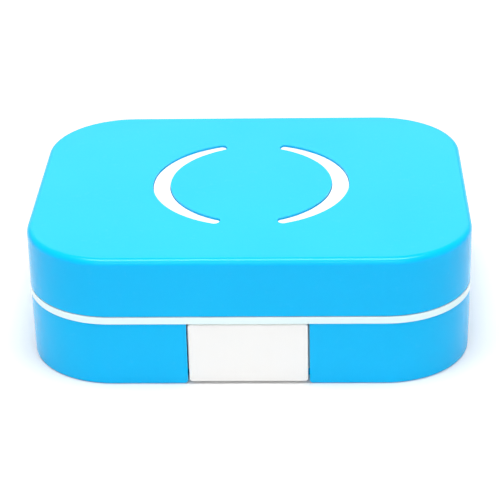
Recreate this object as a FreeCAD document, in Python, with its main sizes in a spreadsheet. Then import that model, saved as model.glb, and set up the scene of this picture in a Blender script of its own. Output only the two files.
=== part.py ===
import FreeCAD, Part
import os
import re
import Sketcher
from FreeCAD import Placement, Rotation, Vector

# A pocket contact lens case: a hinged box with a push button, holding a double-well lens holder,
# tweezers and an applicator, with a mirror in the lid. Millimetres, +Z up, front towards -Y.
# The origin is the middle of the underside of the outer walls.

DIMENSIONS = {
    # outer form
    "case_width": 70.3,
    "case_depth": 55.6,
    "case_height": 21.7,
    "corner_radius": 13.9,
    "base_height": 10.65,
    "band_height": 1.25,
    "band_proud": 0.08,
    "seam_gap": 0.08,
    "wall": 1.8,
    "floor_thick": 1.5,
    "roof_thick": 1.6,
    "lid_draft": 0.3,
    "base_draft": 0.2,
    "lid_edge_round": 1.0,
    "base_edge_round": 0.35,
    "seam_round": 0.18,
    "lid_seam_round": 0.1,
    # decorative inlays in the roof: two crescents of one open ring
    "ring_radius": 16.0,
    "ring_inner": 14.8,
    "ring_offset": 1.5,
    "arc_span": 144.0,
    "arc_end_round": 0.72,
    "inlay_clearance": 0.08,
    "inlay_sink": 0.35,
    "inlay_flange": 0.6,
    "inlay_flange_grow": 1.0,
    # lid liner and mirror
    "liner_thick": 1.0,
    "liner_clearance": 0.12,
    "mirror_width": 48.0,
    "mirror_depth": 34.0,
    "mirror_radius": 8.0,
    "mirror_thick": 1.2,
    "mirror_gap": 0.15,
    "tape_thick": 0.2,
    "tape_margin": 1.5,
    "frame_width": 2.2,
    # hinge
    "hinge_out": 0.35,
    "hinge_height": 11.3,
    "knuckle_radius": 1.5,
    "knuckle_gap": 0.15,
    "hinge_half": 16.0,
    "lid_knuckle_half": 7.9,
    "pin_radius": 0.6,
    # push button and hook
    "notch_half": 9.5,
    "notch_corner": 0.5,
    "button_half": 9.28,
    "button_lift": 0.4,
    "button_plate": 1.5,
    "button_round": 0.25,
    "button_corner": 0.5,
    "button_flange_half": 11.2,
    "button_flange": 0.8,
    "button_travel": 1.0,
    "hook_half": 3.5,
    "hook_slot_half": 4.2,
    "hook_thick": 1.0,
    "hook_foot": 7.3,
    "barb_height": 1.0,
    "barb_reach": 0.45,
    "bar_thick": 1.0,
    "spring_radius": 1.25,
    "spring_wire": 0.18,
    "spring_pitch": 0.85,
    "spring_height": 4.4,
    # inner tray
    "tray_wall": 1.0,
    "tray_lip": 1.1,
    "tray_lip_height": 1.2,
    "holder_y": 11.3,
    "well_spacing": 29.0,
    "holder_pocket": 25.4,
    "holder_floor": 2.6,
    "tweezers_y": -7.7,
    "tweezers_pocket_length": 53.0,
    "tweezers_pocket": 9.6,
    "tweezers_floor": 7.4,
    "applicator_y": -17.0,
    "applicator_pocket_length": 50.0,
    "applicator_pocket": 5.8,
    "applicator_floor": 6.3,
    # lens holder and caps
    "well_radius": 10.3,
    "well_wall": 1.2,
    "well_rim": 11.2,
    "well_floor": 1.3,
    "holder_flange_radius": 12.3,
    "holder_flange_height": 5.4,
    "thread_pitch": 2.2,
    "thread_height": 0.55,
    "thread_foot": 7.0,
    "thread_half": 0.52,
    "thread_crest_half": 0.3,
    "well_turns": 1.5,
    "cap_turns": 1.1,
    "cap_radius": 12.1,
    "cap_inner": 11.05,
    "cap_foot": 6.6,
    "cap_top": 12.9,
    "cap_roof": 1.3,
    "cap_scallop": 0.75,
    "seal_thick": 0.35,
    # tools
    "tool_height": 4.0,
    "arm_thick": 1.3,
    "tweezers_length": 44.0,
    "tweezers_root": 5.0,
    "tip_length": 9.0,
    "tip_wall": 0.55,
    "rod_radius": 1.5,
    "rod_length": 40.0,
    "suction_radius": 2.6,
}
CAP_SCALLOPS = 24
WIRE_SIDES = 8
CAP_KEY_DOTS = {"left": (0.0,), "right": (-1.6, 1.6)}

# Heights and places that several pieces share, as expressions in the sheet's names.
BAND_TOP = "base_height + band_height"
LID_FOOT = f"{BAND_TOP} + seam_gap"
ROOF_UNDER = "case_height - roof_thick"
LINER_TOP = f"{ROOF_UNDER} - inlay_flange - 0.1"
LINER_UNDER = f"{LINER_TOP} - liner_thick"
MIRROR_TOP = f"{LINER_UNDER} - tape_thick"
SHELL_WIDTH = "case_width - 2 * band_proud"
SHELL_DEPTH = "case_depth - 2 * band_proud"
SHELL_RADIUS = "corner_radius - band_proud"
CAVITY_WIDTH = f"{SHELL_WIDTH} - 2 * wall"
CAVITY_DEPTH = f"{SHELL_DEPTH} - 2 * wall"
CAVITY_RADIUS = f"{SHELL_RADIUS} - wall"
FRONT = "(-case_depth / 2 + band_proud)"
FRONT_INNER = f"({FRONT} + wall)"
BACK = "(case_depth / 2 - band_proud)"
HINGE_Y = "(case_depth / 2 + hinge_out)"
FLANGE_REAR = f"({FRONT_INNER} + 0.1 + button_flange)"
HOOK_FRONT = f"({FRONT} + button_plate + button_travel + 0.2)"
HOOK_REAR = f"({HOOK_FRONT} + hook_thick)"
SPRING_SEAT = "(applicator_y - applicator_pocket / 2 - tray_wall)"

doc = FreeCAD.newDocument("contact_lens_case")
sheet = doc.addObject("Spreadsheet::Sheet", "dims")
NAME_PATTERN = re.compile(r"\b(" + "|".join(sorted(DIMENSIONS, key=len, reverse=True)) + r")\b")
pieces = {}


def fill_sheet():
    """One row for each driving dimension: its name and its value."""
    for row, (name, value) in enumerate(DIMENSIONS.items(), 1):
        sheet.set(f"A{row}", name)
        sheet.set(f"B{row}", str(value))
        sheet.setAlias(f"B{row}", name)
    doc.recompute()


def bound(expression):
    """The expression with each dimension's name pointing at its cell in the sheet."""
    return NAME_PATTERN.sub(r"dims.\1", str(expression))


def number(expression):
    """The expression's present value."""
    value = sheet.evalExpression(bound(expression))
    return float(getattr(value, "Value", value))


def bind(thing, **properties):
    """Binds properties to expressions; an underscore pair in a keyword stands for a dot."""
    for name, expression in properties.items():
        thing.setExpression(name.replace("__", "."), bound(expression))


def place(thing, corner, rotation=Rotation()):
    thing.Placement = Placement(Vector(), rotation)
    for axis, expression in zip("xyz", corner):
        thing.setExpression(f"Placement.Base.{axis}", bound(expression))


def new_body(label):
    body = doc.addObject("PartDesign::Body", label)
    body.Label = label
    return body


def rounded_sketch(body, name, z, width, depth, radius, x="0", y="0"):
    """A rounded rectangle on the body's XY plane at height z, all its sizes bound to expressions."""
    sketch = body.newObject("Sketcher::SketchObject", name)
    plane = [f for f in body.Origin.OriginFeatures if f.Role == "XY_Plane"][0]
    sketch.AttachmentSupport = (plane, [""])
    sketch.MapMode = "FlatFace"
    sketch.setExpression("AttachmentOffset.Base.z", bound(z))
    right = f"({x}) + ({width}) / 2 - ({radius})"
    left = f"({x}) - ({width}) / 2 + ({radius})"
    top = f"({y}) + ({depth}) / 2 - ({radius})"
    bottom = f"({y}) - ({depth}) / 2 + ({radius})"
    x1, x0, y1, y0, r = (number(e) for e in (right, left, top, bottom, radius))
    up = Vector(0, 0, 1)

    def corner(cx, cy, start):
        circle = Part.Circle(Vector(cx, cy, 0), up, r)
        return Part.ArcOfCircle(circle, FreeCAD.Units.Quantity(f"{start} deg").getValueAs("rad").Value,
                                FreeCAD.Units.Quantity(f"{start + 90} deg").getValueAs("rad").Value)

    sketch.addGeometry([
        Part.LineSegment(Vector(x0, y1 + r, 0), Vector(x1, y1 + r, 0)),
        corner(x1, y1, 0),
        Part.LineSegment(Vector(x1 + r, y1, 0), Vector(x1 + r, y0, 0)),
        corner(x1, y0, 270),
        Part.LineSegment(Vector(x1, y0 - r, 0), Vector(x0, y0 - r, 0)),
        corner(x0, y0, 180),
        Part.LineSegment(Vector(x0 - r, y0, 0), Vector(x0 - r, y1, 0)),
        corner(x0, y1, 90),
    ], False)
    for line, line_end, arc, arc_end in ((0, 2, 1, 2), (2, 1, 1, 1), (2, 2, 3, 2), (4, 1, 3, 1),
                                         (4, 2, 5, 2), (6, 1, 5, 1), (6, 2, 7, 2), (0, 1, 7, 1)):
        sketch.addConstraint(Sketcher.Constraint("Tangent", line, line_end, arc, arc_end))
    for kind, line in (("Horizontal", 0), ("Horizontal", 4), ("Vertical", 2), ("Vertical", 6)):
        sketch.addConstraint(Sketcher.Constraint(kind, line))
    for arc in (3, 5, 7):
        sketch.addConstraint(Sketcher.Constraint("Equal", 1, arc))
    driven = ((("Radius", 1), r, radius),
              (("DistanceX", -1, 1, 1, 3), x1, right), (("DistanceY", -1, 1, 1, 3), y1, top),
              (("DistanceX", -1, 1, 5, 3), x0, left), (("DistanceY", -1, 1, 5, 3), y0, bottom))
    for what, value, expression in driven:
        index = sketch.addConstraint(Sketcher.Constraint(*what, value))
        sketch.setExpression(f"Constraints[{index}]", bound(expression))
    doc.recompute()
    return sketch


def slab(body, name, z, height, width, depth, radius, x="0", y="0", draft="0"):
    """A rounded slab that stands on z; a negative draft leans its sides inward."""
    pad = body.newObject("PartDesign::Pad", name)
    pad.Profile = rounded_sketch(body, f"{name}_outline", z, width, depth, radius, x, y)
    bind(pad, Length=height, TaperAngle=draft)
    doc.recompute()
    return pad


def hollow(body, name, z, depth_down, width, depth, radius, x="0", y="0", upward=False):
    """A rounded pocket cut down from z, or up from it."""
    pocket = body.newObject("PartDesign::Pocket", name)
    pocket.Profile = rounded_sketch(body, f"{name}_outline", z, width, depth, radius, x, y)
    pocket.Reversed = upward
    bind(pocket, Length=depth_down)
    doc.recompute()
    return pocket


def block(body, name, low, high, cut=False):
    """A box between two corners, added to the body or cut from it."""
    box = body.newObject("PartDesign::SubtractiveBox" if cut else "PartDesign::AdditiveBox", name)
    sizes = [f"({b}) - ({a})" for a, b in zip(low, high)]
    bind(box, Length=sizes[0], Width=sizes[1], Height=sizes[2])
    place(box, low)
    doc.recompute()
    return box


def rod(body, name, start, radius, length, axis="z", cut=False):
    """A cylinder from start along an axis, added to the body or cut from it."""
    kind = "PartDesign::SubtractiveCylinder" if cut else "PartDesign::AdditiveCylinder"
    cylinder = body.newObject(kind, name)
    turns = {"z": Rotation(), "x": Rotation(Vector(0, 1, 0), 90), "y": Rotation(Vector(1, 0, 0), -90)}
    bind(cylinder, Radius=radius, Height=length)
    place(cylinder, start, turns[axis])
    doc.recompute()
    return cylinder


def thread(body, name, x, root, crest, z, turns):
    """A helical ridge about a vertical axis in the lens holder's row of wells; root may be outside crest."""
    sketch = body.newObject("Sketcher::SketchObject", f"{name}_profile")
    plane = [f for f in body.Origin.OriginFeatures if f.Role == "XZ_Plane"][0]
    sketch.AttachmentSupport = (plane, [""])
    sketch.MapMode = "FlatFace"
    sketch.setExpression("AttachmentOffset.Base.x", bound(x))
    sketch.setExpression("AttachmentOffset.Base.z", bound("-holder_y"))
    corners = ((root, f"{z} - thread_half"), (crest, f"{z} - thread_crest_half"),
               (crest, f"{z} + thread_crest_half"), (root, f"{z} + thread_half"))
    points = [Vector(number(a), number(b), 0) for a, b in corners]
    sketch.addGeometry([Part.LineSegment(points[i], points[(i + 1) % 4]) for i in range(4)], False)
    for i in range(4):
        sketch.addConstraint(Sketcher.Constraint("Coincident", i, 2, (i + 1) % 4, 1))
    for i, corner in enumerate(corners):
        for kind, expression in zip(("DistanceX", "DistanceY"), corner):
            index = sketch.addConstraint(Sketcher.Constraint(kind, -1, 1, i, 1, number(expression)))
            sketch.setExpression(f"Constraints[{index}]", bound(expression))
    doc.recompute()
    helix = body.newObject("PartDesign::AdditiveHelix", name)
    helix.Profile = sketch
    helix.ReferenceAxis = (sketch, ["V_Axis"])
    helix.Mode = "pitch-turns-angle"
    bind(helix, Pitch="thread_pitch", Turns=turns)
    doc.recompute()
    return helix


def edges_where(shape, test):
    """Names of the shape's edges that a test picks."""
    return [f"Edge{i}" for i, edge in enumerate(shape.Edges, 1) if test(edge)]


def flat_at(height):
    """A test for edges that lie flat at one height."""
    level = number(height)
    return lambda edge: abs(edge.BoundBox.ZMin - level) < 1e-3 and abs(edge.BoundBox.ZMax - level) < 1e-3


def round_edges(body, name, test, radius):
    """Rounds the picked edges of what the body is so far."""
    last = body.Tip
    fillet = body.newObject("PartDesign::Fillet", name)
    fillet.Base = (last, edges_where(last.Shape, test))
    bind(fillet, Radius=radius)
    doc.recompute()
    return fillet


def keep(thing, label, slot):
    """Names a finished sub-part for its file; slot says what it is made of, for the reader."""
    thing.Label = label
    pieces[label] = (thing, slot)
    return thing


def build_base_shell():
    """The outer shell of the base, with the button's notch and the two outer hinge knuckles."""
    body = new_body("base_shell")
    slab(body, "base_block", "0", "base_height", f"{SHELL_WIDTH} - 0.1", f"{SHELL_DEPTH} - 0.1",
         f"{SHELL_RADIUS} - 0.05", draft="base_draft")
    round_edges(body, "base_foot_round", flat_at("0"), "base_edge_round")
    round_edges(body, "base_seam_round", flat_at("base_height"), "seam_round")
    hollow(body, "base_cavity", "base_height", "base_height - floor_thick", CAVITY_WIDTH, CAVITY_DEPTH,
           CAVITY_RADIUS)
    block(body, "button_notch", ("-notch_half", f"{FRONT} - 1", "-1"),
          ("notch_half", HOOK_FRONT, "base_height + 1"), cut=True)
    for side, x in (("left", "-notch_half"), ("right", "notch_half")):
        edge = block(body, f"notch_corner_{side}", (x, f"{FRONT} - 1", "0"),
                     (f"{x} + notch_corner * 1.41421", HOOK_FRONT, "notch_corner * 1.41421"), cut=True)
        place(edge, (f"{x} - notch_corner", f"{FRONT} - 1", "0"), Rotation(Vector(0, 1, 0), 45))
        doc.recompute()
    for side, low, high in (("left", "-button_flange_half - 1.2", "-button_flange_half - 0.2"),
                            ("right", "button_flange_half + 0.2", "button_flange_half + 1.2")):
        block(body, f"button_guide_{side}", (low, f"{FRONT_INNER} - 0.5", "floor_thick - 0.5"),
              (high, f"{FRONT_INNER} + 3.2", "base_height - 1.2"))
    # The back wall rises through the tray's rim to carry the knuckles.
    block(body, "hinge_wall", ("-hinge_half", f"{BACK} - wall", "base_height - 2"),
          ("hinge_half", f"{BACK} - 0.02", f"{BAND_TOP} - 0.05"))
    for side, start in (("left", "-hinge_half"), ("right", "lid_knuckle_half + 0.3")):
        rod(body, f"base_knuckle_{side}", (start, HINGE_Y, "hinge_height"), "knuckle_radius",
            "hinge_half - lid_knuckle_half - 0.3", axis="x")
        block(body, f"base_knuckle_web_{side}", (start, f"{BACK} - wall", "hinge_height - 2.2"),
              (f"{start} + hinge_half - lid_knuckle_half - 0.3", f"{HINGE_Y} - 0.05", "hinge_height"))
    rod(body, "lid_knuckle_room", ("-lid_knuckle_half - 0.15", HINGE_Y, "hinge_height"),
        "knuckle_radius + knuckle_gap", "2 * lid_knuckle_half + 0.3", axis="x", cut=True)
    rod(body, "base_pin_bore", ("-hinge_half - 1", HINGE_Y, "hinge_height"), "pin_radius + 0.02",
        "2 * hinge_half + 2", axis="x", cut=True)
    keep(body, "base_shell", "blue_plastic")


def build_inner_tray():
    """The white tray: its rim shows as the band between lid and base, and it holds the contents."""
    body = new_body("inner_tray")
    slab(body, "rim", "base_height", "band_height", "case_width", "case_depth", "corner_radius")
    round_edges(body, "rim_foot_round", flat_at("base_height"), "0.2")
    round_edges(body, "rim_top_round", flat_at(BAND_TOP), "lid_seam_round")
    lip_width, lip_depth = f"{CAVITY_WIDTH} - 0.3", f"{CAVITY_DEPTH} - 0.3"
    slab(body, "lip", f"{BAND_TOP} - 0.2", "tray_lip_height + 0.2", lip_width, lip_depth,
         f"{CAVITY_RADIUS} - 0.15")
    round_edges(body, "lip_round", flat_at(f"{BAND_TOP} + tray_lip_height"), "0.4")
    hollow(body, "lip_inside", f"{BAND_TOP} + tray_lip_height + 0.1", "tray_lip_height + 0.1",
           f"{lip_width} - 2 * tray_lip", f"{lip_depth} - 2 * tray_lip", f"{CAVITY_RADIUS} - 0.15 - tray_lip")
    slab(body, "skirt", "base_height - 3", "3.2", f"{CAVITY_WIDTH} - 0.2", f"{CAVITY_DEPTH} - 0.2",
         f"{CAVITY_RADIUS} - 0.1")
    hollow(body, "skirt_inside", "base_height - 3", "3", f"{CAVITY_WIDTH} - 0.2 - 2 * tray_wall",
           f"{CAVITY_DEPTH} - 0.2 - 2 * tray_wall", f"{CAVITY_RADIUS} - 0.1 - tray_wall", upward=True)
    holder_length = "well_spacing + holder_pocket"
    pockets = (
        ("holder", "holder_floor", holder_length, "holder_pocket", "holder_pocket / 2 - 0.05", "holder_y"),
        ("tweezers", "tweezers_floor", "tweezers_pocket_length", "tweezers_pocket", "2.6", "tweezers_y"),
        ("applicator", "applicator_floor", "applicator_pocket_length", "applicator_pocket", "2.4",
         "applicator_y"),
    )
    for name, floor, length, depth, radius, y in pockets:
        slab(body, f"{name}_pocket_wall", f"{floor} - tray_wall",
             f"base_height + 0.5 - ({floor} - tray_wall)", f"{length} + 2 * tray_wall",
             f"{depth} + 2 * tray_wall", f"{radius} + tray_wall", y=y)
    finger_y = "(tweezers_y + applicator_y) / 2"
    finger = ("17.0", "tweezers_y - applicator_y + 5.6", "3.0")
    slab(body, "finger_scoop_wall", "applicator_floor - 1.4 - tray_wall",
         "base_height - applicator_floor + 2", f"{finger[0]} + 2 * tray_wall",
         f"{finger[1]} + 2 * tray_wall", f"{finger[2]} + tray_wall", y=finger_y)
    for name, floor, length, depth, radius, y in pockets:
        hollow(body, f"{name}_pocket", f"{BAND_TOP} + 0.5", f"{BAND_TOP} + 0.5 - ({floor})",
               length, depth, radius, y=y)
    hollow(body, "finger_scoop", f"{BAND_TOP} + 0.5", f"{BAND_TOP} + 0.5 - (applicator_floor - 1.4)",
           *finger, y=finger_y)
    block(body, "spring_seat", ("-3", SPRING_SEAT, "floor_thick + 0.5"),
          ("3", f"{SPRING_SEAT} + tray_wall", "applicator_floor"))
    block(body, "hook_slot", ("-hook_slot_half", f"{HOOK_FRONT} - 0.4", "base_height - 1"),
          ("hook_slot_half", f"{HOOK_REAR} + barb_reach + 0.4", f"{BAND_TOP} + 3"), cut=True)
    block(body, "lip_hook_gap", ("-hook_slot_half", f"{FRONT_INNER} - 0.5", f"{BAND_TOP}"),
          ("hook_slot_half", f"{HOOK_REAR} + 1", f"{BAND_TOP} + 3"), cut=True)
    block(body, "skirt_button_gap", ("-button_flange_half - 1.6", f"{FRONT_INNER} - 0.5", "base_height - 4"),
          ("button_flange_half + 1.6", f"{FRONT_INNER} + 1.5", "base_height"), cut=True)
    block(body, "rim_hinge_gap", ("-hinge_half - 0.25", f"{BACK} - wall - 0.05", "base_height - 0.5"),
          ("hinge_half + 0.25", f"{BACK} + 1", f"{BAND_TOP} + 0.5"), cut=True)
    keep(body, "inner_tray", "white_plastic")


def build_latch_button():
    """The push button: plate in the notch, flange behind the wall, and a bar that holds the lid's hook."""
    body = new_body("latch_button")
    top = "base_height - 0.1"
    block(body, "button_plate", ("-button_half", FRONT, "button_lift"),
          ("button_half", f"{FRONT} + button_plate", top))
    round_edges(body, "plate_corners", lambda edge: edge.BoundBox.XLength + edge.BoundBox.ZLength < 1e-3,
                "button_corner")
    front = number(FRONT)
    round_edges(body, "plate_round", lambda edge: abs(edge.BoundBox.YMax - front) < 1e-3, "button_round")
    block(body, "button_neck", ("-button_half", f"{FRONT} + button_plate - 0.01", "1.7"),
          ("button_half", FLANGE_REAR, f"{top} - 0.5"))
    block(body, "button_flange", ("-button_flange_half", f"{FLANGE_REAR} - button_flange", "1.7"),
          ("button_flange_half", FLANGE_REAR, f"{top} - 0.5"))
    block(body, "hook_window", ("-hook_slot_half", f"{FRONT} + button_plate", "hook_foot - 0.7"),
          ("hook_slot_half", f"{FLANGE_REAR} + 1", f"{top} + 1"), cut=True)
    bar_front = f"({HOOK_REAR} + barb_reach + 0.1)"
    bar_low, bar_high = "hook_foot + barb_height + 0.1", f"{top} - 0.7"
    for side, low, high in (("left", "-hook_slot_half - 1.3", "-hook_slot_half"),
                            ("right", "hook_slot_half", "hook_slot_half + 1.3")):
        block(body, f"bar_arm_{side}", (low, f"{FLANGE_REAR} - 0.2", bar_low),
              (high, f"{bar_front} + bar_thick", bar_high))
    block(body, "catch_bar", ("-hook_slot_half - 1", bar_front, bar_low),
          ("hook_slot_half + 1", f"{bar_front} + bar_thick", bar_high))
    rod(body, "spring_boss", ("0", f"{FLANGE_REAR} - 0.1", "spring_height"), "0.75", "1.1", axis="y")
    keep(body, "latch_button", "white_plastic")


def build_latch_spring():
    """A small coil spring between the button and the tray's spring seat."""
    length = number(f"{SPRING_SEAT} - {FLANGE_REAR}") - 0.06
    wire, radius = DIMENSIONS["spring_wire"], DIMENSIONS["spring_radius"]
    helix = Part.makeLongHelix(DIMENSIONS["spring_pitch"], length - 2 * wire, radius)
    corner = Vector(wire, 0, 0)
    turned = [Rotation(Vector(0, 1, 0), 360 * k / WIRE_SIDES).multVec(corner) for k in range(WIRE_SIDES + 1)]
    section = Part.makePolygon([Vector(radius, 0, 0) + point for point in turned])
    coil = Part.Wire(helix.Edges).makePipeShell([section], True, True)
    spring = doc.addObject("Part::Feature", "latch_spring")
    spring.Shape = coil
    spring.Placement = Placement(Vector(0, number(FLANGE_REAR) + 0.03 + wire, DIMENSIONS["spring_height"]),
                                 Rotation(Vector(1, 0, 0), -90))
    keep(spring, "latch_spring", "steel")


def crescent(name, side, grow, z, height):
    """One crescent of the open ring, grown all round by an amount, with rounded ends."""
    outer = doc.addObject("Part::Cylinder", f"{name}_outer")
    span = f"arc_span + 2 * ({grow}) / ring_radius * 57.2958"
    bind(outer, Radius=f"ring_radius + {grow}", Height=height, Angle=span)
    middle = 180 if side == "left" else 0
    place(outer, ("0", "0", z), Rotation(Vector(0, 0, 1), middle - number(span) / 2))
    inner = doc.addObject("Part::Cylinder", f"{name}_inner")
    bind(inner, Radius=f"ring_inner - {grow}", Height=f"{height} + 2")
    place(inner, ("ring_offset" if side == "left" else "-ring_offset", "0", f"{z} - 1"))
    shape = doc.addObject("Part::Cut", f"{name}_crescent")
    shape.Base, shape.Tool = outer, inner
    doc.recompute()
    upright = [i for i, edge in enumerate(shape.Shape.Edges, 1)
               if edge.BoundBox.XLength < 1e-6 and edge.BoundBox.YLength < 1e-6]
    rounded = doc.addObject("Part::Fillet", f"{name}_rounded")
    rounded.Base = shape
    radius = number(f"arc_end_round + {grow}")
    rounded.Edges = [(i, radius, radius) for i in upright]
    doc.recompute()
    return rounded


def build_lid_inlays():
    """The two white crescents: a rib that fills the roof's slot, on a flange glued under the roof."""
    for side in ("left", "right"):
        rib = crescent(f"{side}_rib", side, "0", ROOF_UNDER, "roof_thick - inlay_sink")
        flange = crescent(f"{side}_flange", side, "inlay_flange_grow", f"{ROOF_UNDER} - inlay_flange",
                          "inlay_flange")
        inlay = doc.addObject("Part::MultiFuse", f"lid_inlay_{side}")
        inlay.Shapes = [rib, flange]
        keep(inlay, f"lid_inlay_{side}", "white_plastic")


def build_lid_shell():
    """The outer lid: roof with two slots, side walls, middle hinge knuckle and the hook for the button."""
    body = new_body("lid_body")
    slab(body, "lid_block", LID_FOOT, f"case_height - ({LID_FOOT})", SHELL_WIDTH, SHELL_DEPTH, SHELL_RADIUS,
         draft="-lid_draft")
    round_edges(body, "lid_edge_round", flat_at("case_height"), "lid_edge_round")
    round_edges(body, "lid_foot_round", flat_at(LID_FOOT), "lid_seam_round")
    hollow(body, "lid_cavity", LID_FOOT, f"{ROOF_UNDER} - ({LID_FOOT})", CAVITY_WIDTH, CAVITY_DEPTH,
           CAVITY_RADIUS, upward=True)
    knuckle_start = ("-lid_knuckle_half", HINGE_Y, "hinge_height")
    rod(body, "lid_knuckle", knuckle_start, "knuckle_radius", "2 * lid_knuckle_half", axis="x")
    block(body, "lid_knuckle_web", ("-lid_knuckle_half", f"{HINGE_Y} - 1.2", "hinge_height + 0.1"),
          ("lid_knuckle_half", f"{HINGE_Y} - 0.02", "hinge_height + 2.2"))
    for side, start in (("left", "-hinge_half - 0.15"), ("right", "lid_knuckle_half + 0.15")):
        rod(body, f"base_knuckle_room_{side}", (start, HINGE_Y, "hinge_height"),
            "knuckle_radius + knuckle_gap", "hinge_half - lid_knuckle_half", axis="x", cut=True)
    rod(body, "lid_pin_bore", ("-lid_knuckle_half - 1", HINGE_Y, "hinge_height"), "pin_radius + 0.06",
        "2 * lid_knuckle_half + 2", axis="x", cut=True)
    block(body, "hook_root", ("-hook_half", f"{FRONT_INNER} - 0.5", f"{BAND_TOP} + 0.9"),
          ("hook_half", HOOK_REAR, f"{LID_FOOT} + 3.7"))
    block(body, "hook_tongue", ("-hook_half", HOOK_FRONT, "hook_foot"),
          ("hook_half", HOOK_REAR, f"{BAND_TOP} + 1"))
    block(body, "hook_barb", ("-hook_half", f"{HOOK_REAR} - 0.1", "hook_foot"),
          ("hook_half", f"{HOOK_REAR} + barb_reach", "hook_foot + barb_height"))
    slots = doc.addObject("Part::MultiFuse", "inlay_slots")
    slots.Shapes = [crescent(f"{side}_slot", side, "inlay_clearance", f"{ROOF_UNDER} - 1", "roof_thick + 2")
                    for side in ("left", "right")]
    lid = doc.addObject("Part::Cut", "lid_shell")
    lid.Base, lid.Tool = body, slots
    body.Label = "lid_body"
    keep(lid, "lid_shell", "blue_plastic")


def build_lid_liner():
    """The white panel inside the lid, with a frame round the mirror."""
    body = new_body("lid_liner")
    width, depth = f"{CAVITY_WIDTH} - 2 * liner_clearance", f"{CAVITY_DEPTH} - 2 * liner_clearance"
    radius = f"{CAVITY_RADIUS} - liner_clearance"
    slab(body, "liner_panel", LINER_UNDER, "liner_thick", width, depth, radius)
    round_edges(body, "panel_round", flat_at(LINER_UNDER), "0.3")
    seat_width, seat_depth = "mirror_width + 2 * mirror_gap", "mirror_depth + 2 * mirror_gap"
    frame_foot = f"{MIRROR_TOP} - mirror_thick - 0.1"
    slab(body, "mirror_frame", frame_foot, f"{LINER_UNDER} - ({frame_foot}) + 0.2",
         f"{seat_width} + 2 * frame_width", f"{seat_depth} + 2 * frame_width",
         "mirror_radius + mirror_gap + frame_width")
    round_edges(body, "frame_round", flat_at(frame_foot), "0.5")
    hollow(body, "mirror_seat", frame_foot, f"{LINER_UNDER} - ({frame_foot})", seat_width, seat_depth,
           "mirror_radius + mirror_gap", upward=True)
    keep(body, "lid_liner", "white_plastic")


def build_mirror():
    """The glass mirror and the sheet of double-sided tape that holds it."""
    tape = new_body("mirror_tape")
    slab(tape, "tape_sheet", MIRROR_TOP, "tape_thick", "mirror_width - 2 * tape_margin",
         "mirror_depth - 2 * tape_margin", "mirror_radius - tape_margin")
    keep(tape, "mirror_tape", "foam_tape")
    mirror = new_body("mirror")
    slab(mirror, "glass_sheet", f"{MIRROR_TOP} - mirror_thick", "mirror_thick", "mirror_width",
         "mirror_depth", "mirror_radius")
    round_edges(mirror, "glass_arris", flat_at(f"{MIRROR_TOP} - mirror_thick"), "0.25")
    keep(mirror, "mirror", "mirror_glass")


def build_hinge_pin():
    body = new_body("hinge_pin")
    rod(body, "pin", ("-hinge_half + 0.2", HINGE_Y, "hinge_height"), "pin_radius", "2 * hinge_half - 0.4",
        axis="x")
    keep(body, "hinge_pin", "steel")


def build_lens_holder():
    """Two lens wells joined by a flange, each with an outside thread for its cap."""
    body = new_body("lens_holder")
    foot = "holder_floor + 0.1"
    slab(body, "holder_flange", "holder_flange_height", "1.0", "well_spacing + 2 * holder_flange_radius",
         "2 * holder_flange_radius", "holder_flange_radius - 0.05", y="holder_y")
    centres = (("left", "-well_spacing / 2"), ("right", "well_spacing / 2"))
    for side, x in centres:
        rod(body, f"{side}_well", (x, "holder_y", foot), "well_radius", f"well_rim - ({foot})")
    round_edges(body, "well_foot_round", flat_at(foot), "1.2")
    for side, x in centres:
        rod(body, f"{side}_well_inside", (x, "holder_y", f"{foot} + well_floor"), "well_radius - well_wall",
            "well_rim", cut=True)
    round_edges(body, "well_bottom_round", flat_at(f"{foot} + well_floor"), "3.2")
    round_edges(body, "well_rim_round", flat_at("well_rim"), "0.3")
    for side, x in centres:
        thread(body, f"{side}_well_thread", x, "well_radius - 0.1", "well_radius + thread_height",
               "thread_foot", "well_turns")
    keep(body, "lens_holder", "frosted_plastic")


def build_cap(side, sign, slot):
    """A screw cap with a scalloped grip and raised key dots, and the seal disc under its roof."""
    x = f"{sign}well_spacing / 2"
    body = new_body(f"{side}_cap")
    rod(body, "cap_block", (x, "holder_y", "cap_foot"), "cap_radius", "cap_top - cap_foot")
    round_edges(body, "cap_top_round", flat_at("cap_top"), "0.9")
    scallop = rod(body, "grip_scallop", (f"{x} + cap_radius + 0.35", "holder_y", "cap_foot - 1"),
                  "cap_scallop", "cap_top - cap_foot - 0.8", cut=True)
    ring = body.newObject("PartDesign::PolarPattern", "grip")
    ring.Originals = [scallop]
    axis = body.newObject("PartDesign::Line", "cap_axis")
    place(axis, (x, "holder_y", "0"))
    ring.Axis = (axis, [""])
    ring.Angle = 360
    ring.Occurrences = CAP_SCALLOPS
    body.Tip = ring
    doc.recompute()
    rod(body, "cap_inside", (x, "holder_y", "cap_foot - 1"), "cap_inner", "cap_top - cap_roof - cap_foot + 1",
        cut=True)
    thread(body, "cap_thread", x, "cap_inner + 0.1", "cap_inner - thread_height",
           "thread_foot + thread_pitch / 2", "cap_turns")
    for index, shift in enumerate(CAP_KEY_DOTS[side]):
        rod(body, f"key_dot_{index}", (f"{x} + ({shift})", "holder_y", "cap_top - 0.1"), "0.7", "0.35")
    keep(body, f"{side}_cap", slot)
    seal = new_body(f"{side}_cap_seal")
    rod(seal, "seal_disc", (x, "holder_y", "cap_top - cap_roof - seal_thick"), "cap_inner - 0.1",
        "seal_thick")
    keep(seal, f"{side}_cap_seal", "silicone")


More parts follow.
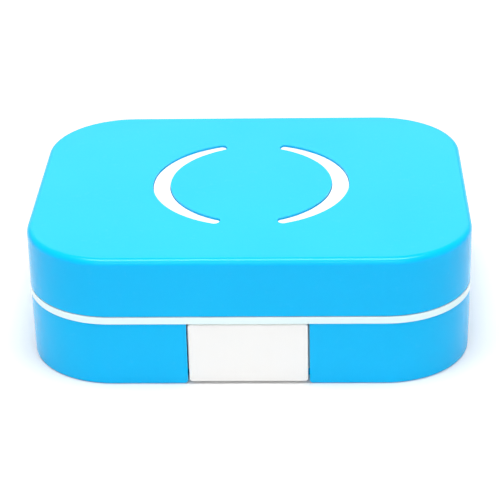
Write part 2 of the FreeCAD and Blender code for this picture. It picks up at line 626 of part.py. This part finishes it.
def build_tweezers():
    """Moulded tweezers that lie in their pocket, with a soft sleeve on each tip."""
    body = new_body("tweezers_body")
    foot = "tweezers_floor + 0.1"
    left, right = "-tweezers_length / 2 - 2", "tweezers_length / 2 - 2"
    half = "tweezers_root / 2"
    slab(body, "bow", foot, "tool_height", "tweezers_length", "tweezers_root + 2.4", "1.9", x="-2",
         y="tweezers_y")
    hollow(body, "bow_inside", f"{foot} + tool_height", "tool_height + 1", "tweezers_length",
           "tweezers_root + 2.4 - 2 * arm_thick", "1.2", x="-2 + 3.6", y="tweezers_y")
    for side, low, high in (("front", f"tweezers_y - {half} - 1.3", f"tweezers_y - {half} - 0.4"),
                            ("back", f"tweezers_y + {half} + 0.4", f"tweezers_y + {half} + 1.3")):
        block(body, f"{side}_grip_pad", ("-7", low, f"{foot} + 0.2"),
              ("5", high, f"{foot} + tool_height - 0.2"))
    keep(body, "tweezers_body", "frosted_plastic")
    start = f"{right} - tip_length + 2"
    for side, sign in (("front", "-"), ("back", "")):
        y = f"tweezers_y {sign or '+'} (tweezers_root / 2 + 1.2 - arm_thick / 2)"
        sleeve = new_body(f"tweezers_tip_{side}")
        low = (start, f"{y} - arm_thick / 2 - tip_wall", f"{foot} + 0.05")
        high = (f"{start} + tip_length", f"{y} + arm_thick / 2 + tip_wall", f"{foot} + tool_height + 0.35")
        block(sleeve, "sleeve", low, high)
        end = number(f"{start} + tip_length")
        round_edges(sleeve, "sleeve_round", lambda edge: edge.BoundBox.XMin > end - 1e-3, "0.9")
        block(sleeve, "sleeve_socket", (f"{start} - 1", f"{y} - arm_thick / 2 - 0.02", f"{foot} - 0.5"),
              (f"{right} + 0.02", f"{y} + arm_thick / 2 + 0.02", f"{foot} + tool_height + 0.02"), cut=True)
        keep(sleeve, f"tweezers_tip_{side}", "silicone")


def build_applicator():
    """A short rod with a knob at one end and a soft suction cup at the other."""
    body = new_body("applicator_rod")
    height = "applicator_floor + suction_radius + 0.1"
    rod(body, "shaft", ("-rod_length / 2", "applicator_y", height), "rod_radius", "rod_length", axis="x")
    rod(body, "knob", ("-rod_length / 2 - 2", "applicator_y", height), "rod_radius + 0.7", "5", axis="x")
    knob_end = number("-rod_length / 2 - 2")
    round_edges(body, "knob_round", lambda edge: edge.BoundBox.XMax < knob_end + 1e-3, "1.0")
    keep(body, "applicator_rod", "frosted_plastic")
    cup = new_body("applicator_cup")
    rod(cup, "cup_sleeve", ("rod_length / 2 - 6", "applicator_y", height), "rod_radius + 0.5", "7", axis="x")
    rod(cup, "cup_bell", ("rod_length / 2 + 0.5", "applicator_y", height), "suction_radius", "2.6", axis="x")
    bell_start = number("rod_length / 2 + 0.5")
    round_edges(cup, "bell_round", lambda edge: abs(edge.BoundBox.XMin - bell_start) < 1e-3
                and edge.BoundBox.XLength < 1e-3 and edge.BoundBox.ZLength > 4.5, "0.5")
    rod(cup, "cup_socket", ("rod_length / 2 - 7", "applicator_y", height), "rod_radius + 0.02", "7.02",
        axis="x", cut=True)
    rod(cup, "cup_mouth", ("rod_length / 2 + 1.6", "applicator_y", height), "suction_radius - 0.6", "2",
        axis="x", cut=True)
    keep(cup, "applicator_cup", "silicone")


def check_document():
    """Stops if any object failed to recompute or any kept piece isn't a valid solid."""
    doc.recompute()
    failed = [o.Label for o in doc.Objects if {"Invalid", "Error"} & set(o.State)]
    for label, (piece, _) in pieces.items():
        shape = piece.Shape
        if shape.isNull() or not shape.isValid() or not shape.Solids:
            failed.append(label)
    if failed:
        raise SystemExit(f"failed: {failed}")


def write_parts():
    os.makedirs("parts", exist_ok=True)
    for label, (piece, slot) in pieces.items():
        piece.Shape.exportStep(os.path.join("parts", f"{label}.step"))
        box = piece.Shape.BoundBox
        print(f"{label:20s} {slot:14s} solids {len(piece.Shape.Solids)} volume {piece.Shape.Volume:9.2f}"
              f"  x {box.XMin:7.2f} {box.XMax:7.2f}  y {box.YMin:7.2f} {box.YMax:7.2f}"
              f"  z {box.ZMin:6.2f} {box.ZMax:6.2f}")


fill_sheet()
build_base_shell()
build_inner_tray()
build_hinge_pin()
build_latch_button()
build_latch_spring()
build_lid_inlays()
build_lid_shell()
build_lid_liner()
build_mirror()
build_lens_holder()
build_cap("left", "-", "blue_plastic")
build_cap("right", "", "white_plastic")
build_tweezers()
build_applicator()
check_document()
write_parts()
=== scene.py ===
import math

import bmesh
import bpy
from mathutils import Matrix, Vector


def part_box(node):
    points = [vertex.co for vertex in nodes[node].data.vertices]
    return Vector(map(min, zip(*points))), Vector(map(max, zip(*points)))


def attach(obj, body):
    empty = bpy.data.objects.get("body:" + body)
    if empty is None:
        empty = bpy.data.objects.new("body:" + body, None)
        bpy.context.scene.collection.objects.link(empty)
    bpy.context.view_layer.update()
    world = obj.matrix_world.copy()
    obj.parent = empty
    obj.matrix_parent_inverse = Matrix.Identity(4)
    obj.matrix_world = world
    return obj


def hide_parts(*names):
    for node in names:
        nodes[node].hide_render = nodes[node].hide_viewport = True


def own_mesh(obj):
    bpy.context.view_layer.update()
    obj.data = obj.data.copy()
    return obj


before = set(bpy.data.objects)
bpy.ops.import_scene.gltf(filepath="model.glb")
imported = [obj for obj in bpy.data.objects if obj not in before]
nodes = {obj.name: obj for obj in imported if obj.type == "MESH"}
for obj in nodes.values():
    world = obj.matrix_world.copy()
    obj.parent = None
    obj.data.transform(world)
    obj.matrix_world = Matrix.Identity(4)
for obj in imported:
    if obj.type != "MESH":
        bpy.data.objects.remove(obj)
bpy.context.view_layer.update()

MM = 0.001
MIDDLE = 0.01 * MM  # how near a turned skin comes to its axis
WELD = 1e-7  # points closer than this become one


# ---------------------------------------------------------------- materials

class Graph:
    """A few short calls for building a material's nodes. Noise scales are in waves per metre."""

    def __init__(self, name):
        self.material = bpy.data.materials.new(name)
        self.material.use_nodes = True
        self.tree = self.material.node_tree
        self.tree.nodes.clear()
        self.output = self.node("ShaderNodeOutputMaterial")
        self.shader = self.node("ShaderNodeBsdfPrincipled")
        self.link(self.shader.outputs["BSDF"], self.output.inputs["Surface"])
        self.place = self.node("ShaderNodeTexCoord").outputs["Object"]

    def node(self, kind, **settings):
        made = self.tree.nodes.new(kind)
        for key, value in settings.items():
            setattr(made, key, value)
        return made

    def link(self, a, b):
        self.tree.links.new(a, b)

    def set(self, **values):
        """Constants on the shader's own sockets; an underscore in a keyword stands for a space."""
        for key, value in values.items():
            self.shader.inputs[key.replace("_", " ")].default_value = value

    def noise(self, scale, detail=3.0, roughness=0.5, stretch=None):
        made = self.node("ShaderNodeTexNoise")
        made.inputs["Scale"].default_value = scale
        made.inputs["Detail"].default_value = detail
        made.inputs["Roughness"].default_value = roughness
        place = self.place
        if stretch:
            mapping = self.node("ShaderNodeMapping")
            mapping.inputs["Scale"].default_value = stretch
            mapping.inputs["Rotation"].default_value = (0.3, 0.2, 0.5)
            self.link(place, mapping.inputs["Vector"])
            place = mapping.outputs["Vector"]
        self.link(place, made.inputs["Vector"])
        return made.outputs["Fac"]

    def ranged(self, value, low, high, to_low=0.0, to_high=1.0):
        made = self.node("ShaderNodeMapRange")
        limits = {"From Min": low, "From Max": high, "To Min": to_low, "To Max": to_high}
        for key, number in limits.items():
            made.inputs[key].default_value = number
        self.link(value, made.inputs["Value"])
        return made.outputs["Result"]

    def math(self, operation, a, b=None):
        made = self.node("ShaderNodeMath", operation=operation)
        for index, value in enumerate((a, b)):
            if isinstance(value, (int, float)):
                made.inputs[index].default_value = value
            elif value is not None:
                self.link(value, made.inputs[index])
        return made.outputs["Value"]

    def mix(self, factor, a, b):
        made = self.node("ShaderNodeMix", data_type="RGBA")
        self.link(factor, made.inputs["Factor"])
        for key, value in (("A", a), ("B", b)):
            socket = [s for s in made.inputs if s.name == key and s.type == "RGBA"][0]
            if isinstance(value, tuple):
                socket.default_value = (*value, 1.0)
            else:
                self.link(value, socket)
        return [s for s in made.outputs if s.type == "RGBA"][0]

    def bump(self, height, distance, strength=1.0, below=None):
        made = self.node("ShaderNodeBump")
        made.inputs["Strength"].default_value = strength
        made.inputs["Distance"].default_value = distance
        self.link(height, made.inputs["Height"])
        if below is not None:
            self.link(below, made.inputs["Normal"])
        return made.outputs["Normal"]

    def edges(self, radius):
        """1 on convex and concave edges, 0 on open faces."""
        bevel = self.node("ShaderNodeBevel", samples=6)
        bevel.inputs["Radius"].default_value = radius
        true = self.node("ShaderNodeNewGeometry").outputs["Normal"]
        dot = self.node("ShaderNodeVectorMath", operation="DOT_PRODUCT")
        self.link(bevel.outputs["Normal"], dot.inputs[0])
        self.link(true, dot.inputs[1])
        return self.ranged(dot.outputs["Value"], 0.995, 0.9)

    def upness(self):
        """The part's own upward share of the surface's direction, from -1 to 1."""
        facing = self.node("ShaderNodeSeparateXYZ")
        self.link(self.node("ShaderNodeTexCoord").outputs["Normal"], facing.inputs["Vector"])
        return facing.outputs["Z"]

    def finish(self, colour, roughness, normal):
        self.link(colour, self.shader.inputs["Base Color"])
        self.link(roughness, self.shader.inputs["Roughness"])
        self.link(normal, self.shader.inputs["Normal"])
        return self.material


def moulded_plastic(name, colour, shade, worn, gloss, level, soft=0.0, painted_top_shade=None):
    """Glossy moulded plastic: faint cloudiness, orange-peel, hairlines, and edges rubbed a little dull.
    Surfaces that face up take a darker colour where one is given: painted shade."""
    wear_share, fleck_share = 0.45, 0.12
    wear_dulls, hairline_dulls, smudge_dulls = 0.5, 0.015, 0.03
    g = Graph(name)
    body = g.mix(g.ranged(g.noise(38.0, detail=4.0), 0.35, 0.65), colour, shade)
    # upward-facing surfaces blend to a darker colour: painted shade
    if painted_top_shade:
        body = g.mix(g.ranged(g.upness(), 0.5, 0.95), body, painted_top_shade)

    fleck = g.ranged(g.noise(900.0, detail=2.0), 0.62, 0.75, to_high=0.35)
    body = g.mix(g.math("MULTIPLY", fleck, fleck_share), body, worn)
    patchy = g.ranged(g.noise(260.0, detail=5.0, roughness=0.65), 0.42, 0.62)
    wear = g.math("MULTIPLY", g.math("MULTIPLY", g.edges(0.35 * MM), patchy), wear_share)
    body = g.mix(wear, body, worn)

    hairlines = g.ranged(g.noise(420.0, detail=2.0, stretch=(1.0, 14.0, 14.0)), 0.64, 0.80)
    smudge = g.ranged(g.noise(70.0, detail=5.0, roughness=0.6), 0.35, 0.7, -smudge_dulls, smudge_dulls)
    rough = g.math("ADD", smudge, gloss)
    rough = g.math("ADD", rough, g.math("MULTIPLY", hairlines, hairline_dulls))
    rough = g.math("ADD", rough, g.math("MULTIPLY", wear, wear_dulls))

    peel = g.bump(g.noise(1500.0, detail=2.0), 0.006 * MM, strength=0.6)
    flow = g.bump(g.noise(160.0, detail=2.0), 0.02 * MM, strength=0.35, below=peel)
    scratch = g.bump(hairlines, 0.001 * MM, strength=0.3, below=flow)
    g.set(IOR=1.46, Specular_IOR_Level=level)
    if soft:
        g.set(Subsurface_Weight=soft, Subsurface_Radius=(0.6, 0.9, 1.0), Subsurface_Scale=1.2 * MM)
    return g.finish(body, rough, scratch)


def silicone(name, colour, shade):
    """Soft milky rubber with a fine moulded grain."""
    g = Graph(name)
    body = g.mix(g.ranged(g.noise(400.0, detail=4.0), 0.3, 0.7), colour, shade)
    rough = g.ranged(g.noise(700.0), 0.3, 0.7, 0.42, 0.6)
    grain = g.bump(g.noise(5200.0), 0.01 * MM, strength=0.6)
    dents = g.bump(g.noise(500.0, detail=2.0), 0.03 * MM, strength=0.4, below=grain)
    g.set(IOR=1.41, Specular_IOR_Level=0.4, Subsurface_Weight=0.25, Subsurface_Radius=(0.8, 0.9, 1.0),
          Subsurface_Scale=1.0 * MM)
    return g.finish(body, rough, dents)


def drawn_steel(name, colour, shade, stretch):
    """Steel wire with drawing lines along its length and a little tarnish."""
    g = Graph(name)
    body = g.mix(g.ranged(g.noise(500.0, detail=5.0), 0.35, 0.7), colour, shade)
    lines = g.noise(2200.0, roughness=0.6, stretch=stretch)
    rough = g.ranged(lines, 0.3, 0.7, 0.2, 0.42)
    g.set(Metallic=1.0)
    return g.finish(body, rough, g.bump(lines, 0.004 * MM, strength=0.7))


def silvered_glass(name):
    """A mirror with faint dust and wiping marks, and green-tinted cut edges."""
    dust_share, dust_dulls = 0.25, 0.12
    g = Graph(name)
    edge = g.ranged(g.math("ABSOLUTE", g.upness()), 0.9, 0.5)
    dust = g.ranged(g.noise(2600.0, detail=4.0, roughness=0.7), 0.62, 0.8)
    silver = g.mix(g.math("MULTIPLY", dust, dust_share), (0.86, 0.89, 0.90), (0.72, 0.74, 0.74))
    body = g.mix(edge, silver, (0.30, 0.48, 0.42))
    wiping = g.noise(60.0, detail=4.0, roughness=0.6, stretch=(1.0, 5.0, 1.0))
    wiped = g.ranged(wiping, 0.4, 0.75, 0.02, 0.07)
    rough = g.math("ADD", wiped, g.math("MULTIPLY", g.math("ADD", dust, edge), dust_dulls))
    g.set(Metallic=1.0)
    return g.finish(body, rough, g.bump(g.noise(25.0, detail=1.0), 0.01 * MM, strength=0.2))


def foam(name):
    """Closed-cell foam tape."""
    g = Graph(name)
    cells = g.node("ShaderNodeTexVoronoi")
    cells.inputs["Scale"].default_value = 4200.0
    g.link(g.place, cells.inputs["Vector"])
    pores = g.ranged(cells.outputs["Distance"], 0.1, 0.6)
    body = g.mix(pores, (0.62, 0.62, 0.60), (0.86, 0.86, 0.84))
    rough = g.ranged(pores, 0.0, 1.0, 0.95, 0.75)
    return g.finish(body, rough, g.bump(pores, 0.03 * MM, strength=0.8))


def studio_paper(name):
    """The pale floor: a table with a faint paper grain, lit from below more strongly far from the case."""
    glow_near, glow_far = 0.05, 0.34
    near, far = 0.4, 1.4
    g = Graph(name)
    body = g.mix(g.noise(30.0), (0.75, 0.75, 0.75), (0.77, 0.77, 0.77))
    rough = g.ranged(g.noise(80.0), 0.3, 0.7, 0.85, 0.95)
    away = g.node("ShaderNodeVectorMath", operation="LENGTH")
    g.link(g.place, away.inputs[0])
    glow = g.ranged(away.outputs["Value"], near, far, glow_near, glow_far)
    g.link(glow, g.shader.inputs["Emission Strength"])
    g.set(Emission_Color=(1.0, 1.0, 1.0, 1.0), Specular_IOR_Level=0.1)
    return g.finish(body, rough, g.bump(g.noise(900.0), 0.01 * MM, strength=0.3))


BLUE = moulded_plastic(
    "blue_plastic", colour=(0.001, 0.505, 0.94), shade=(0.001, 0.490, 0.925), worn=(0.10, 0.60, 0.95),
    gloss=0.22, level=0.18)
# the tray's upward faces get a darker colour: painted shade
BAND_WHITE = moulded_plastic(
    "white_tray_plastic", colour=(0.815, 0.96, 0.975), shade=(0.795, 0.945, 0.96),
    worn=(0.9, 0.965, 0.975), gloss=0.22, level=0.4, painted_top_shade=(0.60, 0.655, 0.67))
BUTTON_WHITE = moulded_plastic(
    "white_button_plastic", colour=(0.92, 0.908, 0.888), shade=(0.905, 0.895, 0.878),
    worn=(0.95, 0.945, 0.93), gloss=0.22, level=0.4)
INLAY_WHITE = moulded_plastic(
    "white_inlay_plastic", colour=(0.87, 0.885, 0.87), shade=(0.85, 0.87, 0.86), worn=(0.93, 0.94, 0.93),
    gloss=0.22, level=0.4)
LINER_WHITE = moulded_plastic(
    "white_liner_plastic", colour=(0.74, 0.755, 0.76), shade=(0.72, 0.74, 0.745), worn=(0.82, 0.83, 0.83),
    gloss=0.34, level=0.4)
CAP_WHITE = moulded_plastic(
    "white_cap_plastic", colour=(0.60, 0.615, 0.62), shade=(0.58, 0.60, 0.605), worn=(0.70, 0.71, 0.71),
    gloss=0.33, level=0.4)
FROSTED = moulded_plastic(
    "frosted_plastic", colour=(0.36, 0.62, 0.78), shade=(0.33, 0.59, 0.76), worn=(0.60, 0.76, 0.84),
    gloss=0.38, level=0.45, soft=0.35)
SILICONE = silicone("soft_silicone", colour=(0.78, 0.83, 0.85), shade=(0.72, 0.78, 0.81))
STEEL = drawn_steel("steel_wire", colour=(0.60, 0.61, 0.63), shade=(0.46, 0.46, 0.47),
                    stretch=(0.05, 1.0, 1.0))
MIRROR = silvered_glass("silvered_glass")
TAPE = foam("foam_tape")

FINISHES = {
    "base_shell": BLUE, "lid_shell": BLUE, "left_cap": BLUE,
    "inner_tray": BAND_WHITE, "latch_button": BUTTON_WHITE, "right_cap": CAP_WHITE,
    "lid_inlay_left": INLAY_WHITE, "lid_inlay_right": INLAY_WHITE, "lid_liner": LINER_WHITE,
    "lens_holder": FROSTED, "tweezers_body": FROSTED, "applicator_rod": FROSTED,
    "hinge_pin": STEEL, "mirror": MIRROR,
}

for node_name, material in FINISHES.items():
    slots = nodes[node_name].data.materials
    slots.clear()
    slots.append(material)


# ---------------------------------------------------------------- new pieces

def new_piece(name, bm, material, body, slot, *stands_for):
    """A finished mesh as a piece that rides on a body and stands for CAD nodes."""
    mesh = bpy.data.meshes.new(name)
    bmesh.ops.remove_doubles(bm, verts=bm.verts, dist=WELD)
    bmesh.ops.recalc_face_normals(bm, faces=bm.faces)
    for face in bm.faces:
        face.smooth = True
    bm.to_mesh(mesh)
    bm.free()
    piece = bpy.data.objects.new(name, mesh)
    bpy.context.scene.collection.objects.link(piece)
    mesh.materials.append(material)
    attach(piece, body)
    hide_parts(*stands_for)
    return piece


def skin(bm, rings):
    """Joins rings of points, all with the same count, into a skin with capped ends."""
    rows = [[bm.verts.new(p) for p in ring] for ring in rings]
    for a, b in zip(rows, rows[1:]):
        for i in range(len(a)):
            j = (i + 1) % len(a)
            bm.faces.new((a[i], a[j], b[j], b[i]))
    bm.faces.new(rows[0])
    bm.faces.new(list(reversed(rows[-1])))


def lathe(bm, profile, frame_at, steps):
    """Turns a closed profile of (along, radius) points about an axis; frame_at gives a point in space."""
    rows = [[bm.verts.new(frame_at(a, r, 2 * math.pi * s / steps)) for a, r in profile]
            for s in range(steps)]
    for s in range(steps):
        a, b = rows[s], rows[(s + 1) % steps]
        for i in range(len(profile)):
            j = (i + 1) % len(profile)
            bm.faces.new((a[i], a[j], b[j], b[i]))


def rounded_profile(points, radius, steps=4):
    """A closed outline with each corner cut to a small arc."""
    out = []
    count = len(points)
    widest = 0.45  # the most of a side that one corner may take
    for i, point in enumerate(points):
        here = Vector(point)
        back = Vector(points[i - 1]) - here
        ahead = Vector(points[(i + 1) % count]) - here
        reach = min(radius, back.length * widest, ahead.length * widest)
        start, end = here + back.normalized() * reach, here + ahead.normalized() * reach
        for k in range(steps + 1):
            t = k / steps
            out.append(tuple(start * (1 - t) ** 2 + here * 2 * t * (1 - t) + end * t ** 2))
    return out


def seal_disc(side):
    """The seal under a cap's roof: a soft disc with a ring pressed into its underside."""
    low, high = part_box(f"{side}_cap_seal")
    centre = (low + high) / 2
    half = (high.z - low.z) / 2
    reach = (high.x - low.x) / 2
    rim = reach - 0.05 * MM
    ring_in, ring_out, ring_wall = reach * 0.62, reach * 0.70, reach * 0.02
    ring_roof = -half + 0.08 * MM
    profile = rounded_profile([
        (-half, MIDDLE), (-half, ring_in), (ring_roof, ring_in + ring_wall),
        (ring_roof, ring_out - ring_wall), (-half, ring_out), (-half, rim), (half, rim), (half, MIDDLE),
    ], radius=0.07 * MM)
    bm = bmesh.new()
    lathe(bm, profile, lambda a, r, t: centre + Vector((r * math.cos(t), r * math.sin(t), a)), steps=96)
    new_piece(f"{side}_seal_disc", bm, SILICONE, f"{side}_seal", "silicone", f"{side}_cap_seal")


def suction_cup():
    """The applicator's soft cup: a ribbed sleeve and a bell with a hollow mouth."""
    low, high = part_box("applicator_cup")
    start, end = low.x, high.x
    y, z = (low.y + high.y) / 2, (low.z + high.z) / 2
    bell = (high.z - low.z) / 2
    inside, outside = 1.52 * MM, 2.0 * MM
    ribs, first_rib, rib_pitch = 4, 1.2 * MM, 1.15 * MM
    rib_slope, rib_width, crest = 0.2 * MM, 0.65 * MM, outside + 0.14 * MM
    neck = end - 2.75 * MM
    socket_end = end - 3.1 * MM

    outline = [(start, inside), (start, outside - 0.12 * MM), (start + 0.3 * MM, outside)]
    for rib in range(ribs):
        at = start + first_rib + rib * rib_pitch
        outline += [(at, outside), (at + rib_slope, crest), (at + rib_width - rib_slope, crest),
                    (at + rib_width, outside)]
    outline += [(neck, outside - 0.05 * MM), (neck + 0.5 * MM, outside + 0.2 * MM),
                (neck + 1.3 * MM, bell - 0.12 * MM), (neck + 2.1 * MM, bell), (end, bell)]
    outline += [(end, bell - 0.35 * MM), (end - 0.5 * MM, bell - 0.62 * MM),
                (end - 1.15 * MM, bell - 1.3 * MM), (end - 1.45 * MM, 0.6 * MM), (end - 1.5 * MM, MIDDLE)]
    outline += [(socket_end, MIDDLE), (socket_end, inside)]
    bm = bmesh.new()
    lathe(bm, rounded_profile(outline, radius=0.12 * MM, steps=3),
          lambda a, r, t: Vector((a, y + r * math.cos(t), z + r * math.sin(t))), steps=64)
    new_piece("applicator_suction_cup", bm, SILICONE, "applicator", "silicone", "applicator_cup")


def tweezers_sleeve(side):
    """A soft tip sleeve: a rounded bar that tapers to its nose, with grip ribs on both broad sides."""
    low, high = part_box(f"tweezers_tip_{side}")
    centre = (low + high) / 2
    half_y, half_z = (high.y - low.y) / 2, (high.z - low.z) / 2
    length = high.x - low.x
    stations, per_ring = 60, 40
    nose_start, nose_sharpness, blunt = 0.82, 2.4, 1e-4
    heel_width, heel_slope = 0.93, 1.6
    rib_height, half_waves, ribs_from, ribs_to = 0.06 * MM, 18, 0.1, 0.75
    slack_y, slack_z = 0.06 * MM, 0.03 * MM
    squareness = 0.45
    nose_y, nose_z = 0.45, 0.25
    rings = []
    for s in range(stations + 1):
        t = s / stations
        nose = max(0.0, (t - nose_start) / (1 - nose_start))
        shrink = math.sqrt(max(blunt, 1 - nose ** nose_sharpness))
        heel = min(1.0, heel_width + t * heel_slope)
        rib = rib_height * max(0.0, math.sin(t * math.pi * half_waves)) if ribs_from < t < ribs_to else 0.0
        reach_y = (half_y * heel - slack_y + rib) * (nose_y + (1 - nose_y) * shrink)
        reach_z = (half_z * heel - slack_z) * (nose_z + (1 - nose_z) * shrink)
        ring = []
        for k in range(per_ring):
            a = 2 * math.pi * k / per_ring
            y = math.copysign(abs(math.cos(a)) ** squareness, math.cos(a)) * reach_y
            z = math.copysign(abs(math.sin(a)) ** squareness, math.sin(a)) * reach_z
            ring.append(Vector((low.x + length * t, centre.y + y, centre.z + z)))
        rings.append(ring)
    bm = bmesh.new()
    skin(bm, rings)
    new_piece(f"tweezers_sleeve_{side}", bm, SILICONE, "tweezers", "silicone", f"tweezers_tip_{side}")


def coil_spring():
    """The button's spring: a round wire with closed end turns."""
    low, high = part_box("latch_spring")
    wire = 0.18 * MM
    radius = (high.x - low.x) / 2 - wire
    centre_x, centre_z = (low.x + high.x) / 2, (low.z + high.z) / 2
    length = high.y - low.y - 2 * wire
    turns, closed, per_turn, around = 7, 1, 40, 12
    closed_pitch = 2 * wire
    open_pitch = (length - 2 * closed * closed_pitch) / (turns - 2 * closed)
    total = turns * per_turn
    points = []
    for i in range(total + 1):
        t = i / per_turn
        open_turns = min(max(t - closed, 0.0), turns - 2 * closed)
        rise = open_turns * open_pitch + (t - open_turns) * closed_pitch
        angle = 2 * math.pi * t
        points.append(Vector((centre_x + radius * math.cos(angle), low.y + wire + rise,
                              centre_z + radius * math.sin(angle))))
    rings = []
    for i, point in enumerate(points):
        along = (points[min(i + 1, total)] - points[max(i - 1, 0)]).normalized()
        outward = Vector((point.x - centre_x, 0, point.z - centre_z)).normalized()
        across = along.cross(outward).normalized()
        outward = across.cross(along).normalized()
        rings.append([point + (outward * math.cos(a) + across * math.sin(a)) * wire
                      for a in (2 * math.pi * k / around for k in range(around))])
    bm = bmesh.new()
    skin(bm, rings)
    coil = new_piece("latch_coil", bm, STEEL, "base", "steel", "latch_spring")
    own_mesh(coil)


def tape_sheet():
    """The mirror's tape: a thin rounded sheet with soft edges."""
    low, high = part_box("mirror_tape")
    corner, inset, per_corner = 6.5 * MM, 0.05 * MM, 12
    left, right = low.x + corner, high.x - corner
    front, back = low.y + corner, high.y - corner
    rings = []
    for z, pull in ((low.z, inset), (low.z + inset, 0.0), (high.z - inset, 0.0), (high.z, inset)):
        ring = []
        radius = corner - pull
        for x, y, start in ((right, back, 0), (left, back, 90), (left, front, 180), (right, front, 270)):
            for k in range(per_corner + 1):
                a = math.radians(start + 90 * k / per_corner)
                ring.append(Vector((x + radius * math.cos(a), y + radius * math.sin(a), z)))
        rings.append(ring)
    bm = bmesh.new()
    skin(bm, rings)
    new_piece("mirror_tape_sheet", bm, TAPE, "lid", "foam_tape", "mirror_tape")


for cap_side in ("left", "right"):
    seal_disc(cap_side)
suction_cup()
for arm_side in ("front", "back"):
    tweezers_sleeve(arm_side)
coil_spring()
tape_sheet()


# ---------------------------------------------------------------- studio

def floor_sheet():
    """A wide table that rises gently far behind the case."""
    bm = bmesh.new()
    columns, rows = 12, 48
    half_width, near, far = 2.4, -1.6, 2.6
    bend, rise = 1.7, 0.6
    grid = []
    for j in range(rows + 1):
        y = near + (far - near) * j / rows
        z = rise * max(0.0, y - bend) ** 2
        grid.append([bm.verts.new((half_width * (2 * i / columns - 1), y, z)) for i in range(columns + 1)])
    for j in range(rows):
        for i in range(columns):
            bm.faces.new((grid[j][i], grid[j][i + 1], grid[j + 1][i + 1], grid[j + 1][i]))
    for face in bm.faces:
        face.smooth = True
    mesh = bpy.data.meshes.new("floor_sheet")
    bm.to_mesh(mesh)
    bm.free()
    sheet = bpy.data.objects.new("floor_sheet", mesh)
    bpy.context.scene.collection.objects.link(sheet)
    mesh.materials.append(studio_paper("studio_paper"))


def softbox(name, place, size, power):
    """A rectangular lamp that faces the middle of the case's underside."""
    lamp = bpy.data.lights.new(name, "AREA")
    lamp.shape = "RECTANGLE"
    lamp.size, lamp.size_y = size
    lamp.energy = power
    box = bpy.data.objects.new(name, lamp)
    box.location = place
    box.rotation_mode = "QUATERNION"
    box.rotation_quaternion = (Vector() - Vector(place)).to_track_quat("-Z", "Y")
    bpy.context.scene.collection.objects.link(box)


def sky(horizon, zenith):
    """A plain room: brighter walls, fading to a dimmer ceiling."""
    ceiling_from = 0.9  # the upward share of a direction at which the ceiling begins
    world = bpy.data.worlds.new("soft_room")
    world.use_nodes = True
    tree = world.node_tree
    height = tree.nodes.new("ShaderNodeSeparateXYZ")
    tree.links.new(tree.nodes.new("ShaderNodeTexCoord").outputs["Generated"], height.inputs["Vector"])
    fade = tree.nodes.new("ShaderNodeMapRange")
    fade.inputs["From Max"].default_value = ceiling_from
    fade.inputs["To Min"].default_value = horizon
    fade.inputs["To Max"].default_value = zenith
    tree.links.new(height.outputs["Z"], fade.inputs["Value"])
    background = tree.nodes["Background"]
    background.inputs["Color"].default_value = (1.0, 1.0, 1.0, 1.0)
    tree.links.new(fade.outputs["Result"], background.inputs["Strength"])
    bpy.context.scene.world = world


def camera(place, yaw, elevation, roll, lens, shift):
    """A camera at the photograph's viewing angle."""
    yaw, elevation, roll = (math.radians(a) for a in (yaw, elevation, roll))
    back = Vector((math.sin(yaw) * math.cos(elevation), -math.cos(yaw) * math.cos(elevation),
                   math.sin(elevation)))
    level = Vector((math.cos(yaw), math.sin(yaw), 0.0))
    upright = back.cross(level)
    right = level * math.cos(roll) + upright * math.sin(roll)
    up = upright * math.cos(roll) - level * math.sin(roll)
    data = bpy.data.cameras.new("view")
    data.lens = lens
    data.sensor_width = 36.0
    data.shift_x, data.shift_y = shift
    data.clip_start, data.clip_end = 0.01, 20.0
    taker = bpy.data.objects.new("view", data)
    taker.matrix_world = Matrix.Translation(Vector(place)) @ Matrix((right, up, back)).transposed().to_4x4()
    bpy.context.scene.collection.objects.link(taker)
    bpy.context.scene.camera = taker


floor_sheet()
sky(horizon=0.45, zenith=0.12)
softbox("overhead", place=(0.0, -0.07, 1.2), size=(0.9, 0.5), power=18.3)
softbox("front", place=(0.0, -0.983, 0.688), size=(0.9, 0.5), power=3.6)
softbox("behind", place=(0.0, 1.04, 0.6), size=(1.4, 0.5), power=1.9)
camera(place=(0.010467, -0.274125, 0.149713), yaw=2.187, elevation=26.941, roll=-1.281, lens=132.73,
       shift=(-0.00525, -0.0111))
bpy.context.scene.view_settings.view_transform = "Standard"
